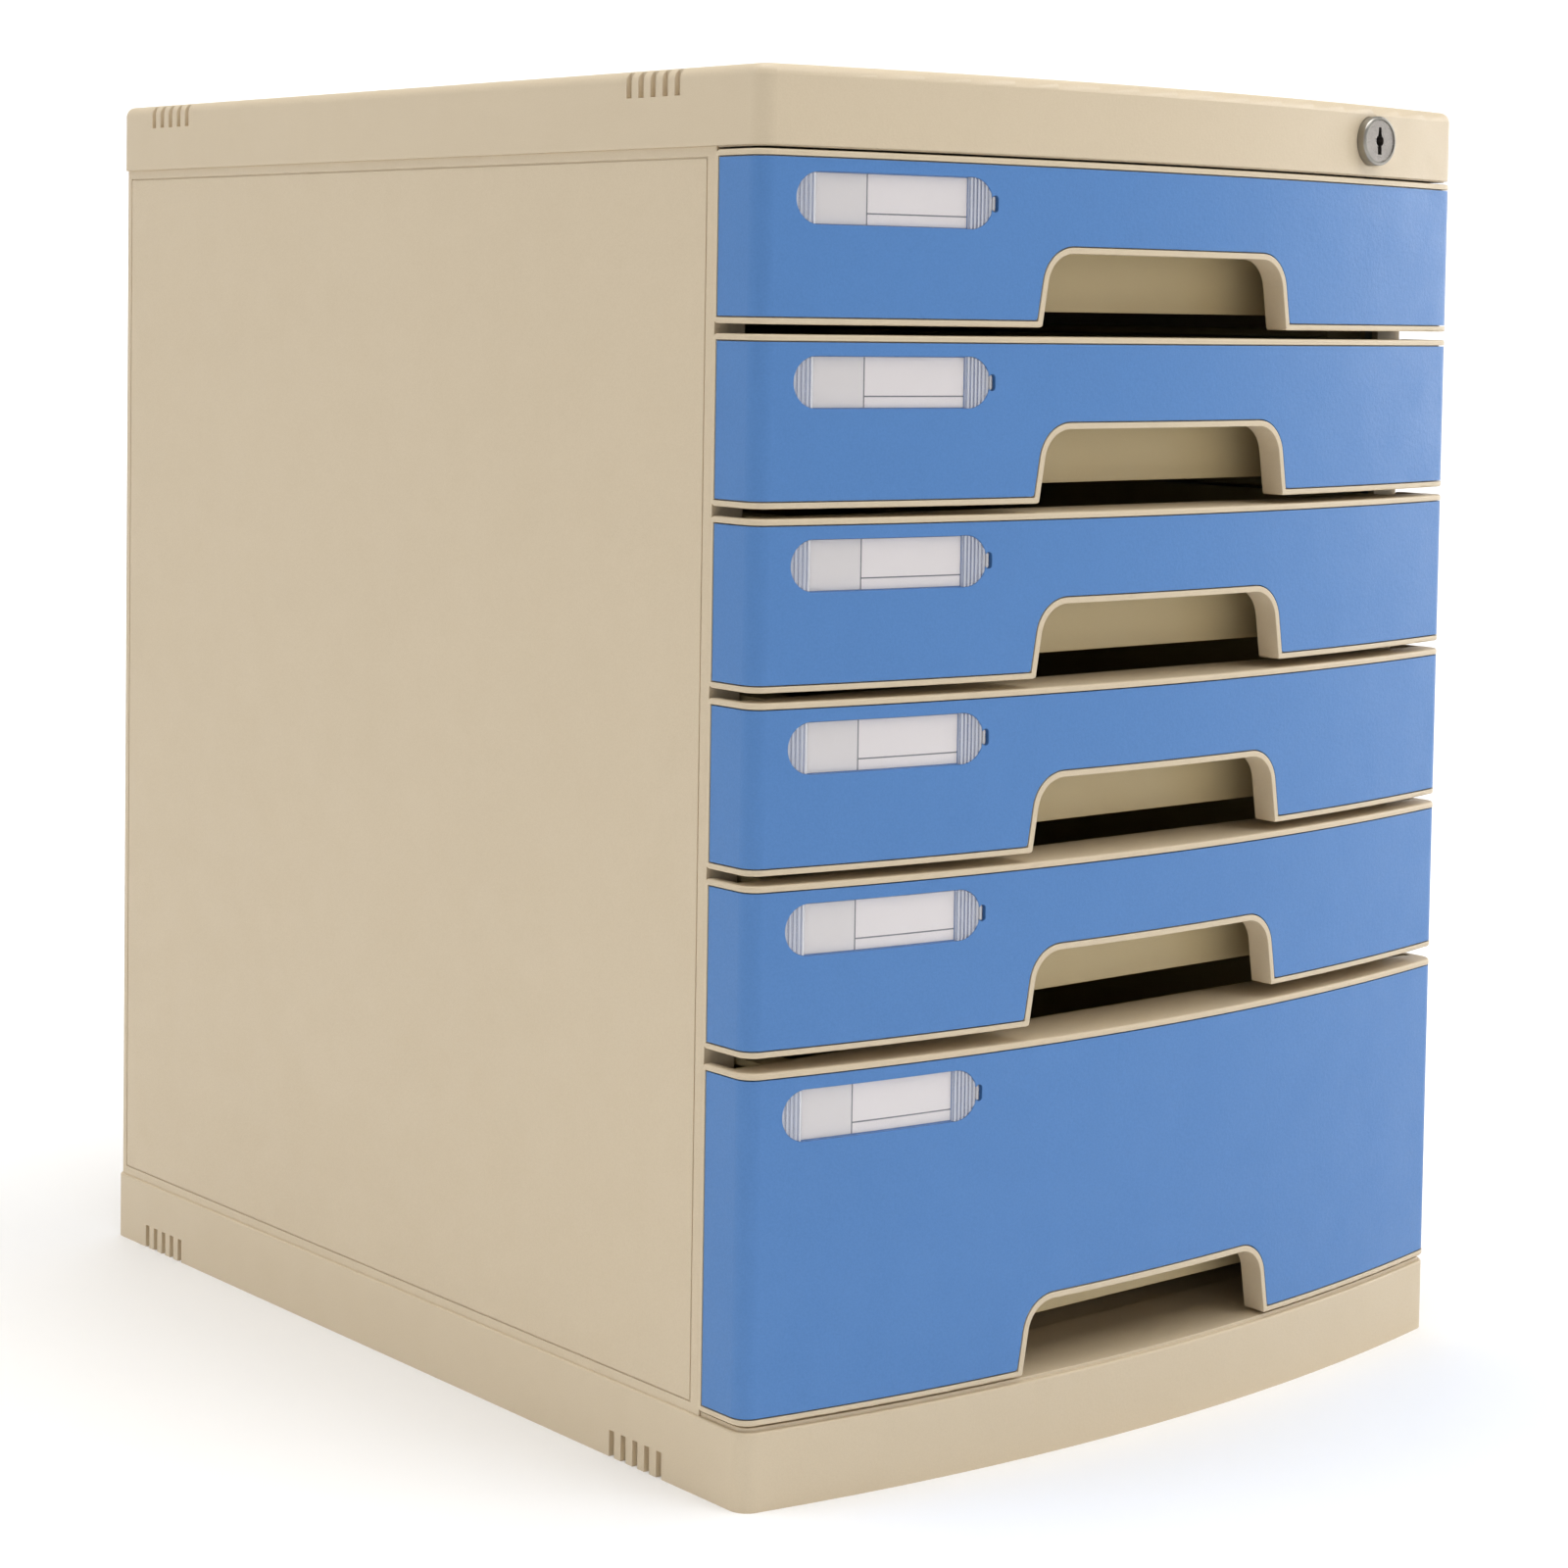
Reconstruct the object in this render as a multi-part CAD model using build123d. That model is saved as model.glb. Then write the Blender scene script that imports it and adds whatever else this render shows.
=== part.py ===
from build123d import *
import os
from math import cos, radians, sin, sqrt

# Six-drawer desktop filing cabinet in moulded plastic: a cover and a base joined by two side
# panels and a back panel, six drawers with bowed fronts, and a cam lock that lifts a lock bar.
# Millimetres. +Z is up, the drawers face -Y, and the origin is the middle of the footprint.

# ---- Driving dimensions: the whole cabinet ----
CASE_WIDTH = 300.0
CASE_DEPTH = 380.0          # from the crown of the bowed front to the rear of the cover
CASE_HEIGHT = 412.0
BOW = 16.0                  # how far the crown of the front stands ahead of its corners
CORNER_RADIUS = 6.0         # front corners, seen from above
TIGHTEST_CORNER = 0.6       # front corners of the innermost outlines
REAR_RADIUS = 3.0
WALL = 2.5

# ---- Cover and base ----
COVER_BOTTOM = 389.2
COVER_LIP_BOTTOM = 388.8    # the set-back lip above the top drawer
BASE_TOP = 23.2
BASE_STEP_TOP = 24.3        # the set-back step under the bottom drawer
LIP_SET_BACK = 1.3
EDGE_ROUND = 3.2            # top edge of the cover
SMALL_ROUND = 0.7
SLOT_COUNT = 5              # grip slots in each group, four groups on each of cover and base
SLOT_WIDTH = 2.6
SLOT_PITCH = 5.75
SLOT_HEIGHT = 8.0
SLOT_DEPTH = 1.7
SLOT_FRONT_START = 37.0     # first slot of a front group, behind the front corner line
SLOT_REAR_START = 21.0      # last slot of a rear group, ahead of the rear
POST_RADIUS = 3.2
POST_X = 143.5
POST_PLACES = (60.0, 320.0)  # behind the front corner line
POST_FOOT = 8.0             # the base's posts end this far above the floor
STIFFENER_THICK = 8.0
STIFFENER_PLACES = (110.0, 190.0, 270.0)
STIFFENER_FOOT = 12.0
SCREW_SHANK = 1.27
SCREW_PILOT = 1.30
SCREW_HEAD = 2.3
SCREW_HEAD_HEIGHT = 1.7
SCREW_LENGTH = 11.0
PILOT_SPARE = 0.5           # the pilot holes are this much longer than the screws
SCREW_CLEARANCE = 0.4       # around the screws in the panels' flanges

# ---- Side panels and back panel ----
PANEL_INSET = 0.8           # the cover and base overhang the panels by this much
PANEL_FRONT = 20.7          # behind the front corner line
PANEL_REAR = 363.2
RETURN_INNER = 138.0        # the front and rear returns reach in to this X
GROOVE_INSET = 4.0
GROOVE_TOP_INSET = 3.0
GROOVE_WIDTH = 0.55
GROOVE_DEPTH = 0.4
RUNNER_FRONT = 36.0
RUNNER_REAR = 357.0
RUNNER_INNER = 130.0
RUNNER_THICK = 3.0
RUNNER_ROUND = 1.0
RUNNER_GAP = 0.3            # below a drawer's rail
KEEPER_GAP = 0.5            # above a drawer's rail
FLANGE_THICK = 2.2
BACK_FRONT_FACE = 358.2
BACK_THICK = 2.5
BACK_CLEARANCE = 0.1
BACK_FIELD_EDGE = 22.0      # bare edge around the sunk fields of the back panel
BACK_FIELD_DEPTH = 0.8
BACK_FIELDS = 3

# ---- Drawer fronts ----
FRONT_PROUD = 0.3           # the fronts are this much wider than the cover on each side
SHALLOW_HEIGHT = 49.2
DEEP_HEIGHT = 101.5
DRAWER_PITCH = 52.0
TOP_DRAWER_BOTTOM = 338.9
DEEP_DRAWER_BOTTOM = 25.1
SHALLOW_COUNT = 5
FRONT_RETURN = 20.4         # how far a front wraps back from the corner line
RIM = 1.75                  # bare edge of the beige front around the coloured face
FACE_GAP = 0.4              # shadow line between the rim and the face
FACE_SEAT = 1.8             # depth of the recess that the face lies in
FACE_SUNK = 0.12            # the face lies this much below the rim
MEMBRANE = 1.8
FLANGE = 1.9
FRONT_ROUND = 0.7
FRONT_END_ROUND = 2.0       # upper and lower corners of a front's two returns
LIP_DEPTH = 8.4             # depth of the wall around the finger opening
LIP_RELIEF = 22.0           # the bottom flange is cut back this far past the opening
OPENING_HALF = 53.4         # at the bottom edge of the front
OPENING_HEIGHT = 22.0
OPENING_DRAFT = 0.16        # sideways lean of each side for each unit of height
OPENING_RADIUS = 10.0
OPENING_FOOT = 1.0          # rounding where the opening meets the bottom edge
STUD_RADIUS = 3.0
STUD_PLACES = (-130.0, -62.0, 62.0, 130.0)

# ---- Label ----
LABEL_X = -105.5
LABEL_WIDTH = 66.4
LABEL_HEIGHT = 15.2
LABEL_DROP = 3.7            # below the top edge of the coloured face
LABEL_CLEARANCE = 0.15
WINDOW_SUNK = 0.30
WINDOW_BACK = 1.40
WINDOW_RIB = 0.14
WINDOW_TAB_REACH = 0.9      # thumb tab at the right end of the window
WINDOW_TAB_HEIGHT = 4.0
POCKET_DEPTH = 1.43         # floor of the recess that the window lies in
CARD_CLEARANCE = 0.1
CARD_FRONT = 1.45
CARD_LEFT = -132.2
CARD_WIDTH = 51.4
CARD_HEIGHT = 14.4
RIB_PITCH = 1.15
RIB_WIDTH = 0.5
NOTCH_REACH = 2.0           # dark notch past the right end of the label recess
NOTCH_OVERLAP = 0.3
NOTCH_HEIGHT = 5.0
NOTCH_ROUND = 1.1

# ---- Drawer trays ----
TRAY_HALF = 128.0
TRAY_WALL = 2.2
TRAY_FLOOR = 2.0
TRAY_FRONT = 8.0            # behind the front corner line
TRAY_FRONT_THICK = 2.5
TRAY_FRONT_HALF = 147.4
TRAY_REAR = 350.0
TRAY_TOP_DROP = 0.5         # below the top of the front
SHALLOW_TRAY_RISE = 4.6     # tray underside above the bottom edge of the front
DEEP_TRAY_RISE = 9.3
TRAY_RADIUS = 4.0
TRAY_FLOOR_ROUND = 1.5
RAIL_OUTER = 136.5
RAIL_THICK = 2.0
STOP_OUTER = 140.5
STOP_FRONT = 304.0
STOP_LENGTH = 4.0
CATCH_FRONT = 31.0
CATCH_LENGTH = 3.0
CATCH_HEIGHT = 7.0
CATCH_OUTER = 136.0

# ---- Lock ----
LOCK_X = 97.0
LOCK_Z = 400.2
COLLAR_RADIUS = 7.9
COLLAR_CLEARANCE = 0.1
COLLAR_FRONT = -13.4        # all lock depths are behind the front corner line
LOCK_SEAT = -9.2
BARREL_RADIUS = 6.0
BARREL_HOLE = 6.1
BARREL_REAR = 7.0
BOSS_RADIUS = 9.0
BOSS_REAR = -4.0
NUT_ACROSS = 15.0
NUT_THICK = 3.0
NUT_HOLE = 6.05
HEAD_RADIUS = 6.7           # head of the plug, in a recess in the collar
HEAD_RECESS = 6.78
HEAD_SUNK = 0.3
HEAD_DEPTH = 2.4
HEAD_GAP = 0.1              # behind the head
PLUG_RADIUS = 4.9
PLUG_BORE = 4.97
PLUG_REAR = 7.4
KEYWAY_LENGTH = 8.8
KEYWAY_WIDTH = 1.9
KEYWAY_SHOULDER = 2.3       # the keyway's width where its upper arm starts
KEYWAY_TIP = 1.2            # and where that arm ends
KEYWAY_ROUND = 1.9
KEYWAY_DEPTH = 9.0
CAM_RADIUS = 4.9
CAM_TIP_RADIUS = 3.0
CAM_THICK = 2.0
CAM_SCREW_SHANK = 1.5
CAM_SCREW_HOLE = 1.53
CAM_SCREW_DEPTH = 6.0
CAM_SCREW_HEAD = 2.8
CAM_SCREW_HEAD_HEIGHT = 1.6
CRANK = 5.66                # from the lock's axis to the crank pin
CRANK_START = -45.0         # degrees above the level at rest
PIN_RADIUS = 1.5
PIN_REAR = 14.6
ARM_FRONT = 12.0
ARM_THICK = 2.0
ARM_LOWER = 4.3             # arm below and above the crank slot's middle
ARM_LEFT = LOCK_X - 11.5
SLOT_CLEARANCE = 0.45
BAR_INNER = 143.0
BAR_OUTER = 145.0
BAR_FRONT = 25.5
BAR_REAR = 30.5
BAR_BOTTOM = 100.0
FINGER_INNER = 131.0
FINGER_FRONT = 26.5
FINGER_REAR = 29.5
FINGER_DROP = 14.0          # finger underside below a drawer's rail at rest
FINGER_HEIGHT = 4.0
GUIDE_PLACES = (140.0, 245.0, 350.0)
GUIDE_HEIGHT = 6.0
GUIDE_CLEARANCE = 0.3
GUIDE_WALL = 1.0

# ---- Worked-out places ----
HALF_WIDTH = CASE_WIDTH / 2
CORNER_Y = -CASE_DEPTH / 2 + BOW
BOW_RADIUS = (HALF_WIDTH**2 + BOW**2) / (2 * BOW)
BOW_CENTRE_Y = -CASE_DEPTH / 2 + BOW_RADIUS
REAR_Y = CASE_DEPTH / 2
FRONT_HALF = HALF_WIDTH + FRONT_PROUD
PANEL_OUTER = HALF_WIDTH - PANEL_INSET
PANEL_INNER = PANEL_OUTER - WALL
BOTTOMS = [TOP_DRAWER_BOTTOM - DRAWER_PITCH * i for i in range(SHALLOW_COUNT)] + [DEEP_DRAWER_BOTTOM]
HEIGHTS = [SHALLOW_HEIGHT] * SHALLOW_COUNT + [DEEP_HEIGHT]
RISES = [SHALLOW_TRAY_RISE] * SHALLOW_COUNT + [DEEP_TRAY_RISE]
TRAY_TOPS = [bottom + height - TRAY_TOP_DROP for bottom, height in zip(BOTTOMS, HEIGHTS)]
TOP_FLANGE_BOTTOM = TRAY_TOPS[0] + KEEPER_GAP
TOP_FLANGE_TOP = TOP_FLANGE_BOTTOM + FLANGE_THICK
BOTTOM_FLANGE_TOP = BASE_TOP + FLANGE_THICK
COVER_CEILING = CASE_HEIGHT - WALL
BASE_CEILING = BASE_TOP - WALL
PIN_X = LOCK_X - CRANK * cos(radians(CRANK_START))
PIN_Z = LOCK_Z + CRANK * sin(radians(CRANK_START))


def behind(distance):
    """Y of a plane this far behind the line through the two front corners."""
    return CORNER_Y + distance


def bow_y(x, inset=0.0):
    """Y of the bowed surface at x, moved back by inset."""
    return BOW_CENTRE_Y - sqrt((BOW_RADIUS - inset) ** 2 - x**2)


def span(x0, x1, y0, y1, z0, z1):
    """Box between two corners."""
    centre = Pos((x0 + x1) / 2, (y0 + y1) / 2, (z0 + z1) / 2)
    return centre * Box(abs(x1 - x0), abs(y1 - y0), abs(z1 - z0))


def rod(x, z, radius, y0, y1):
    """Cylinder along Y."""
    return Pos(x, (y0 + y1) / 2, z) * Rot(90, 0, 0) * Cylinder(radius, abs(y1 - y0))


def post(x, y, radius, z0, z1):
    """Cylinder along Z."""
    return Pos(x, y, (z0 + z1) / 2) * Cylinder(radius, abs(z1 - z0))


def plan(inset, rear, half_width=HALF_WIDTH):
    """Footprint with the bowed front and rounded front corners, shrunk by inset."""
    reach = half_width - inset
    left = (-reach, bow_y(reach, inset))
    right = (reach, bow_y(reach, inset))
    sides = Polyline(right, (reach, rear), (-reach, rear), left)
    front = ThreePointArc(left, (0, bow_y(0, inset)), right)
    outline = make_face(sides + front)
    return fillet(outline.vertices().group_by(Axis.Y)[0], max(CORNER_RADIUS - inset, TIGHTEST_CORNER))


def slab(z0, z1, inset, rear, half_width=HALF_WIDTH):
    """The footprint raised from z0 to z1."""
    return extrude(Pos(0, 0, z0) * plan(inset, rear, half_width), amount=z1 - z0)


def skin(z0, z1, outer, inner, rear, half_width=HALF_WIDTH):
    """Bowed strip between two insets, wrapping back along both sides to rear."""
    return slab(z0, z1, outer, rear, half_width) - slab(z0, z1, inner, rear, half_width)


def through(sketch):
    """A sketch in X and Z made into a prism that runs forward through a drawer front."""
    upright = Plane((0, behind(TRAY_FRONT), 0), x_dir=(1, 0, 0), z_dir=(0, -1, 0))
    return extrude(upright * sketch, amount=2 * TRAY_FRONT + 2 * BOW)


# ---- Cover and base ----
def case_block(z0, z1):
    """Outer block of the cover or the base, with rounded rear corners."""
    block = slab(z0, z1, 0, REAR_Y)
    return fillet(block.edges().filter_by(Axis.Z).group_by(Axis.Y)[-1], REAR_RADIUS)


def grip_slots(z0, z1):
    """Short upright slots near the four corners, cut into both sides."""
    slots = []
    for number in range(SLOT_COUNT):
        step = SLOT_PITCH * number + SLOT_WIDTH / 2
        for middle in (behind(SLOT_FRONT_START) + step, REAR_Y - SLOT_REAR_START - step):
            for side in (-1, 1):
                slots.append(span(side * (HALF_WIDTH + WALL), side * (HALF_WIDTH - SLOT_DEPTH),
                                  middle - SLOT_WIDTH / 2, middle + SLOT_WIDTH / 2, z0, z1))
    return slots


def at_posts(radius, z0, z1):
    """One upright cylinder at each of the four screw places."""
    return [post(side * POST_X, behind(place), radius, z0, z1)
            for side in (-1, 1) for place in POST_PLACES]


def top_cover():
    cover = case_block(COVER_BOTTOM, CASE_HEIGHT)
    cover = fillet(cover.faces().sort_by(Axis.Z)[-1].edges(), EDGE_ROUND)
    cover += slab(COVER_LIP_BOTTOM, COVER_BOTTOM, LIP_SET_BACK, behind(FRONT_RETURN))
    cover -= slab(COVER_LIP_BOTTOM, COVER_CEILING, WALL, REAR_Y - WALL)
    cover += at_posts(POST_RADIUS, TOP_FLANGE_TOP, COVER_CEILING)
    cover -= at_posts(SCREW_PILOT, TOP_FLANGE_TOP, TOP_FLANGE_BOTTOM + SCREW_LENGTH + PILOT_SPARE)
    cover += rod(LOCK_X, LOCK_Z, BOSS_RADIUS, behind(LOCK_SEAT), behind(BOSS_REAR))
    cover -= rod(LOCK_X, LOCK_Z, COLLAR_RADIUS + COLLAR_CLEARANCE, behind(-2 * BOW), behind(LOCK_SEAT))
    cover -= rod(LOCK_X, LOCK_Z, BARREL_HOLE, behind(-2 * BOW), behind(BOSS_REAR))
    cover -= grip_slots(CASE_HEIGHT - SLOT_HEIGHT, CASE_HEIGHT + SLOT_HEIGHT)
    return cover


def base():
    floor = case_block(0, BASE_TOP)
    floor = fillet(floor.faces().sort_by(Axis.Z)[-1].edges(), SMALL_ROUND)
    floor += slab(BASE_TOP, BASE_STEP_TOP, LIP_SET_BACK, behind(FRONT_RETURN))
    floor -= slab(0, BASE_CEILING, WALL, REAR_Y - WALL)
    floor += at_posts(POST_RADIUS, POST_FOOT, BASE_CEILING)
    floor -= at_posts(SCREW_PILOT, BOTTOM_FLANGE_TOP - SCREW_LENGTH - PILOT_SPARE, BASE_STEP_TOP)
    floor -= grip_slots(-SLOT_HEIGHT, SLOT_HEIGHT)
    return floor


def base_stiffeners():
    """Three bars across the underside of the base."""
    inner = HALF_WIDTH - WALL
    return Compound([span(-inner, inner, behind(place), behind(place) + STIFFENER_THICK,
                          STIFFENER_FOOT, BASE_CEILING) for place in STIFFENER_PLACES])


def cover_screws():
    heads = at_posts(SCREW_HEAD, TOP_FLANGE_BOTTOM - SCREW_HEAD_HEIGHT, TOP_FLANGE_BOTTOM)
    shanks = at_posts(SCREW_SHANK, TOP_FLANGE_BOTTOM, TOP_FLANGE_BOTTOM + SCREW_LENGTH)
    return Compound([head + shank for head, shank in zip(heads, shanks)])


def base_screws():
    heads = at_posts(SCREW_HEAD, BOTTOM_FLANGE_TOP, BOTTOM_FLANGE_TOP + SCREW_HEAD_HEIGHT)
    shanks = at_posts(SCREW_SHANK, BOTTOM_FLANGE_TOP - SCREW_LENGTH, BOTTOM_FLANGE_TOP)
    return Compound([head + shank for head, shank in zip(heads, shanks)])


# ---- Side panels and back panel ----
def panel_groove(side):
    """Thin groove that frames the grained field of a side panel."""
    def field(inset):
        return span(side * HALF_WIDTH, side * (PANEL_OUTER - GROOVE_DEPTH),
                    behind(PANEL_FRONT + GROOVE_INSET + inset), behind(PANEL_REAR - GROOVE_INSET - inset),
                    BASE_TOP + GROOVE_TOP_INSET + inset, COVER_BOTTOM - GROOVE_TOP_INSET - inset)
    return field(0) - field(GROOVE_WIDTH)


def side_panel(side):
    outer, inner = side * PANEL_OUTER, side * PANEL_INNER
    panel = span(outer, inner, behind(PANEL_FRONT), behind(PANEL_REAR), BASE_TOP, COVER_BOTTOM)
    for front in (PANEL_FRONT, PANEL_REAR - WALL):
        panel += span(outer, side * RETURN_INNER, behind(front), behind(front + WALL),
                      BASE_TOP, COVER_BOTTOM)
    outer_face = panel.faces().sort_by(Axis.X)[-1 if side > 0 else 0]
    panel = fillet(outer_face.edges().sort_by(Axis.Y)[-1], REAR_RADIUS - PANEL_INSET)
    panel -= panel_groove(side)
    front, rear = behind(RUNNER_FRONT), behind(RUNNER_REAR)
    panel += span(inner, side * RUNNER_INNER, front, rear, TOP_FLANGE_BOTTOM, TOP_FLANGE_TOP)
    panel += span(inner, side * RUNNER_INNER, front, rear, BASE_TOP, BOTTOM_FLANGE_TOP)
    holes = [post(side * POST_X, behind(place), SCREW_PILOT + SCREW_CLEARANCE, z0, z1)
             for place in POST_PLACES
             for z0, z1 in ((TOP_FLANGE_BOTTOM, TOP_FLANGE_TOP), (BASE_TOP, BOTTOM_FLANGE_TOP))]
    return panel - holes


def runners(side):
    """Strips inside a side panel: one under each drawer's rail, and one over it but for the top drawer."""
    levels = [tray_top - RAIL_THICK - RUNNER_GAP - RUNNER_THICK for tray_top in TRAY_TOPS]
    levels += [tray_top + KEEPER_GAP for tray_top in TRAY_TOPS[1:]]
    strips = []
    for low in levels:
        strip = span(side * PANEL_INNER, side * RUNNER_INNER, behind(RUNNER_FRONT), behind(RUNNER_REAR),
                     low, low + RUNNER_THICK)
        inner_edges = strip.edges().filter_by(Axis.Y).sort_by(lambda edge: abs(edge.center().X))[:2]
        strips.append(fillet(inner_edges, RUNNER_ROUND))
    return Compound(strips)


def back_panel():
    half = PANEL_INNER - BACK_CLEARANCE
    rear = behind(BACK_FRONT_FACE + BACK_THICK)
    panel = span(-half, half, behind(BACK_FRONT_FACE), rear, BASE_TOP, COVER_BOTTOM)
    bottom = BASE_TOP + BACK_FIELD_EDGE
    pitch = (COVER_BOTTOM - BACK_FIELD_EDGE - bottom + BACK_FIELD_EDGE / 2) / BACK_FIELDS
    for number in range(BACK_FIELDS):
        low = bottom + pitch * number
        field = span(BACK_FIELD_EDGE - half, half - BACK_FIELD_EDGE, rear - BACK_FIELD_DEPTH,
                     rear + BACK_THICK, low, low + pitch - BACK_FIELD_EDGE / 2)
        panel -= fillet(field.edges().filter_by(Axis.Y), REAR_RADIUS)
    return panel


# ---- Drawer fronts ----
def opening(bottom, grow=0.0, level=None):
    """Finger opening in the bottom edge of a front, in X and Z, widened by grow.

    It is closed below at level, where its sides flare out in two small roundings.
    """
    level = bottom if level is None else level
    foot = OPENING_HALF + grow + OPENING_DRAFT * OPENING_HEIGHT
    top = bottom + OPENING_HEIGHT + grow
    narrow = OPENING_HALF + grow - OPENING_DRAFT * (OPENING_HEIGHT + grow)
    hole = make_face(Polyline((-foot, bottom - OPENING_HEIGHT), (foot, bottom - OPENING_HEIGHT),
                              (narrow, top), (-narrow, top), close=True))
    hole = fillet(hole.vertices().group_by(Axis.Y)[-1], OPENING_RADIUS + grow)
    block = Pos(0, level + OPENING_HEIGHT) * Rectangle(4 * OPENING_HALF, 2 * OPENING_HEIGHT)
    material = block - hole
    feet = material.vertices().group_by(Axis.Y)[0].sort_by(Axis.X)[1:-1]
    return block - fillet(feet, OPENING_FOOT)


def drawer_front(bottom, height):
    """Beige shell: rim, recess for the coloured face, flanges, finger opening and studs."""
    top = bottom + height
    rear = behind(FRONT_RETURN)
    shell = slab(bottom, top, 0, rear, FRONT_HALF)
    shell = fillet(shell.edges().filter_by(Axis.X).group_by(Axis.Y)[-1], FRONT_END_ROUND)
    ends = shell.faces().sort_by(Axis.Z)
    rims = ends[0].edges().sort_by(Axis.Y)[:-1] + ends[-1].edges().sort_by(Axis.Y)[:-1]
    shell = fillet(rims, FRONT_ROUND)
    recess = skin(bottom + RIM, top - RIM, -RIM, FACE_SEAT, behind(FRONT_RETURN - RIM), FRONT_HALF)
    shell -= recess - through(opening(bottom, RIM))
    back_of_face = FACE_SEAT + MEMBRANE
    shell -= slab(bottom + FLANGE, top - FLANGE, back_of_face, rear, FRONT_HALF)
    room = FRONT_HALF - WALL
    shell -= span(-room, room, behind(TRAY_FRONT), rear, bottom, top)
    lip = skin(bottom, top, FACE_SEAT / 2, LIP_DEPTH, rear, FRONT_HALF)
    shell += lip & through(opening(bottom, FLANGE))
    clear = OPENING_HALF + LIP_RELIEF
    shell -= (slab(bottom, bottom + FLANGE, LIP_DEPTH, behind(TRAY_FRONT), FRONT_HALF)
              & span(-clear, clear, -CASE_DEPTH / 2, behind(TRAY_FRONT), bottom, bottom + FLANGE))
    shell -= through(opening(bottom))
    shell -= through(notch(bottom, height))
    middle = bottom + height / 2
    for x in STUD_PLACES:
        shell += rod(x, middle, STUD_RADIUS, bow_y(x, back_of_face - MEMBRANE / 2), behind(TRAY_FRONT))
    return shell


def stadium(bottom, height, shrink=0.0):
    """Label outline in X and Z."""
    middle = bottom + height - RIM - FACE_GAP - LABEL_DROP - LABEL_HEIGHT / 2
    return Pos(LABEL_X, middle) * SlotOverall(LABEL_WIDTH - 2 * shrink, LABEL_HEIGHT - 2 * shrink)


def notch(bottom, height):
    """Outline of the notch past the right end of the label, in X and Z."""
    middle = stadium(bottom, height).center().Y
    left, right = LABEL_X + LABEL_WIDTH / 2 - NOTCH_OVERLAP, LABEL_X + LABEL_WIDTH / 2 + NOTCH_REACH
    return Pos((left + right) / 2, middle) * RectangleRounded(right - left, NOTCH_HEIGHT, NOTCH_ROUND)


def card_outline(bottom, height, grow=0.0):
    """Outline of the label card in X and Z."""
    middle = stadium(bottom, height).center().Y
    card = Rectangle(CARD_WIDTH + 2 * grow, CARD_HEIGHT + 2 * grow)
    return Pos(CARD_LEFT + CARD_WIDTH / 2, middle) * card


def drawer_face(bottom, height):
    """Coloured panel that wraps both corners, cut out for the opening, with a recess for the label."""
    edge = RIM + FACE_GAP
    face = skin(bottom + edge, bottom + height - edge, FACE_SUNK, FACE_SEAT,
                behind(FRONT_RETURN - edge), FRONT_HALF)
    face -= through(opening(bottom, edge, bottom + edge))
    below_pocket = slab(bottom, bottom + height, POCKET_DEPTH, REAR_Y, FRONT_HALF)
    face -= through(stadium(bottom, height)) - below_pocket
    face -= through(card_outline(bottom, height, CARD_CLEARANCE))
    return face - through(notch(bottom, height))


def label_window(bottom, height):
    """Clear cover over the label card, with upright ribs at both ends."""
    top, rear = bottom + height, behind(FRONT_RETURN)
    outline = stadium(bottom, height, LABEL_CLEARANCE)
    left, right = LABEL_X - LABEL_WIDTH / 2, LABEL_X + LABEL_WIDTH / 2
    tab = Pos(right, outline.center().Y) * Rectangle(2 * WINDOW_TAB_REACH, WINDOW_TAB_HEIGHT)
    window = skin(bottom, top, WINDOW_SUNK, WINDOW_BACK, rear, FRONT_HALF) & through(outline + tab)
    bars = []
    x = left + RIB_PITCH
    while x < right - RIB_WIDTH:
        if x < CARD_LEFT - RIB_WIDTH or x > CARD_LEFT + CARD_WIDTH + RIB_WIDTH:
            bars.append(Pos(x, outline.center().Y) * Rectangle(RIB_WIDTH, LABEL_HEIGHT))
        x += RIB_PITCH
    ribs = skin(bottom, top, WINDOW_SUNK - WINDOW_RIB, WINDOW_SUNK + WINDOW_RIB, rear, FRONT_HALF)
    return window + (ribs & through(outline & Sketch() + bars))


def label_card(bottom, height):
    """Paper card between the window and the shell."""
    layer = skin(bottom, bottom + height, CARD_FRONT, FACE_SEAT, behind(FRONT_RETURN), FRONT_HALF)
    return layer & through(card_outline(bottom, height))


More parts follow.
